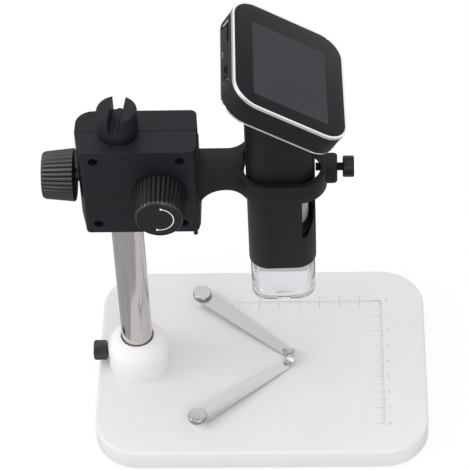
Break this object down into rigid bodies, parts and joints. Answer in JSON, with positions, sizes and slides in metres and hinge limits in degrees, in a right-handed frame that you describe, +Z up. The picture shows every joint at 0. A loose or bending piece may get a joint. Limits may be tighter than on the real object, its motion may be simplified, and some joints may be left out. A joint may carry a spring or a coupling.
{
  "type": "digital microscope on a focusing stand",
  "caption": "Hand-held digital microscope with a tilted colour screen, clamped upright in the ring of a focusing stand with a steel pole, height block, ribbed knobs and stage clips.",
  "frame": {"origin": "under the middle of the base, on the plane the rubber feet stand on", "axes": "+Z up; +X from the pole towards the ring's thumb screw; -Y towards the focus knob's side"},
  "size_m": [0.177, 0.1186, 0.2188],
  "materials": {
    "white_plastic": "satin white moulded plastic",
    "dark_plate": "plain dark plastic",
    "steel_screws": "plain steel",
    "rubber": "matt rubber",
    "brass": "turned brass",
    "chrome_parts": "polished chrome",
    "spring_steel": "fine brushed spring steel",
    "polished_steel": "polished steel tube",
    "black_plastic": "fine-grained matt black plastic",
    "black_gloss": "smooth black plastic",
    "bushing_plastic": "dark low-friction plastic",
    "barrel_black": "fine matt black plastic",
    "clear_plastic": "clear moulded plastic",
    "board": "green circuit board",
    "led_white": "white lamp bodies",
    "battery_foil": "foil-wrapped cell",
    "plated_trim": "chrome-plated plastic",
    "dark_glass": "black-bordered cover glass",
    "screen": "dark display panel",
    "port_metal": "stamped connector steel",
    "silver_wheel": "ribbed silver wheel",
    "lens": "clear lens glass",
    "key_black": "black rubbery keys"
  },
  "bodies": {
    "base": {"base_shell": "white_plastic", "base_plate": "dark_plate", "base_screws": "steel_screws", "rubber_feet": "rubber", "pole_socket": "white_plastic", "socket_insert": "brass", "clip_posts": "chrome_parts"},
    "front_clip": {"front_clip": "spring_steel"},
    "rear_clip": {"rear_clip": "spring_steel"},
    "pole": {"pole_tube": "polished_steel", "pole_cap": "black_plastic"},
    "socket_screw": {"socket_screw_knob": "black_gloss", "socket_screw_stud": "steel_screws"},
    "block": {"block_front_cover": "black_plastic", "block_rear_housing": "black_plastic", "block_screws": "steel_screws", "pole_bushing": "bushing_plastic", "clamp_nut": "brass", "shaft_bushings": "brass", "slide_stop_pin": "steel_screws"},
    "clamp_knob": {"clamp_knob": "black_plastic", "clamp_stud": "steel_screws", "clamp_pad": "brass"},
    "focus_knob": {"focus_knob": "black_plastic", "focus_knob_disc": "black_gloss", "focus_shaft": "steel_screws", "focus_pinion": "brass"},
    "carriage": {"slide_plate": "black_plastic", "focus_rack": "brass", "slide_screws": "steel_screws", "arm_ring": "black_plastic", "ring_insert": "brass"},
    "ring_screw": {"ring_screw_knob": "black_gloss", "ring_screw_stud": "black_gloss"},
    "microscope": {"barrel_front_shell": "barrel_black", "barrel_rear_shell": "barrel_black", "housing_screws": "steel_screws", "clear_tip": "clear_plastic", "lamp_board": "board", "lamp_leds": "led_white", "wheel_retainers": "bushing_plastic", "carrier_guide_pin": "steel_screws", "sensor_board": "board", "battery": "battery_foil", "head_rear_shell": "barrel_black", "head_rear_trim": "plated_trim", "head_front_frame": "plated_trim", "front_glass": "dark_glass", "lcd_panel": "screen", "main_board": "board", "usb_port": "port_metal", "card_slot": "port_metal", "tact_switches": "port_metal"},
    "focus_wheel": {"focus_wheel": "silver_wheel"},
    "lens_carrier": {"lens_carrier": "bushing_plastic", "lens_glass": "lens"},
    "side_key_1": {"side_key_1": "key_black"},
    "side_key_2": {"side_key_2": "key_black"},
    "side_key_3": {"side_key_3": "key_black"},
    "side_key_4": {"side_key_4": "key_black"}
  },
  "joints": [
    {"name": "pole_swivel", "type": "hinge", "parent": "base", "child": "pole", "pos_m": [-0.0605, 0, 0.02], "axis": [0, 0, 1], "continuous": true},
    {"name": "socket_screw_turn", "type": "hinge", "parent": "base", "child": "socket_screw", "pos_m": [-0.0805, 0, 0.02], "axis": [1, 0, 0], "continuous": true},
    {"name": "block_slide", "type": "slide", "parent": "pole", "child": "block", "axis": [0, 0, 1], "range_m": [-0.034, 0]},
    {"name": "clamp_turn", "type": "hinge", "parent": "block", "child": "clamp_knob", "pos_m": [-0.09, 0, 0.1406], "axis": [1, 0, 0], "continuous": true},
    {"name": "focus_slide", "type": "slide", "parent": "block", "child": "carriage", "axis": [0, 0, 1], "range_m": [-0.009, 0.009]},
    {"name": "focus_turn", "type": "hinge", "parent": "block", "child": "focus_knob", "pos_m": [-0.04238, -0.02, 0.142], "axis": [0, -1, 0], "range_deg": [-123.5, 123.5]},
    {"name": "ring_screw_turn", "type": "hinge", "parent": "carriage", "child": "ring_screw", "pos_m": [0.04, 0, 0.14402], "axis": [1, 0, 0], "continuous": true},
    {"name": "scope_slide", "type": "slide", "parent": "carriage", "child": "microscope", "axis": [0, 0, 1], "range_m": [-0.008, 0.03]},
    {"name": "wheel_turn", "type": "hinge", "parent": "microscope", "child": "focus_wheel", "pos_m": [0.0116, 0, 0.12], "axis": [0, 0, 1], "range_deg": [-150, 150]},
    {"name": "lens_slide", "type": "slide", "parent": "microscope", "child": "lens_carrier", "axis": [0, 0, 1], "range_m": [-0.00301, 0.00301]},
    {"name": "front_clip_turn", "type": "hinge", "parent": "base", "child": "front_clip", "pos_m": [-0.0305, -0.04, 0.015], "axis": [0, 0, 1], "range_deg": [-130, 0]},
    {"name": "rear_clip_turn", "type": "hinge", "parent": "base", "child": "rear_clip", "pos_m": [-0.0305, 0.04, 0.015], "axis": [0, 0, 1], "range_deg": [0, 130]},
    {"name": "key_1_press", "type": "slide", "parent": "microscope", "child": "side_key_1", "axis": [0.0297, -0.9996, 0], "range_m": [0, 0.0005], "stiffness_N_per_m": 400},
    {"name": "key_2_press", "type": "slide", "parent": "microscope", "child": "side_key_2", "axis": [0.0297, -0.9996, 0], "range_m": [0, 0.0005], "stiffness_N_per_m": 400},
    {"name": "key_3_press", "type": "slide", "parent": "microscope", "child": "side_key_3", "axis": [0.0297, -0.9996, 0], "range_m": [0, 0.0005], "stiffness_N_per_m": 400},
    {"name": "key_4_press", "type": "slide", "parent": "microscope", "child": "side_key_4", "axis": [0.0297, -0.9996, 0], "range_m": [0, 0.0005], "stiffness_N_per_m": 400}
  ],
  "couplings": [
    {"joint": "focus_turn", "follows": "focus_slide", "rad_per_m": 238.09},
    {"joint": "lens_slide", "follows": "wheel_turn", "m_per_rad": 0.001146}
  ]
}
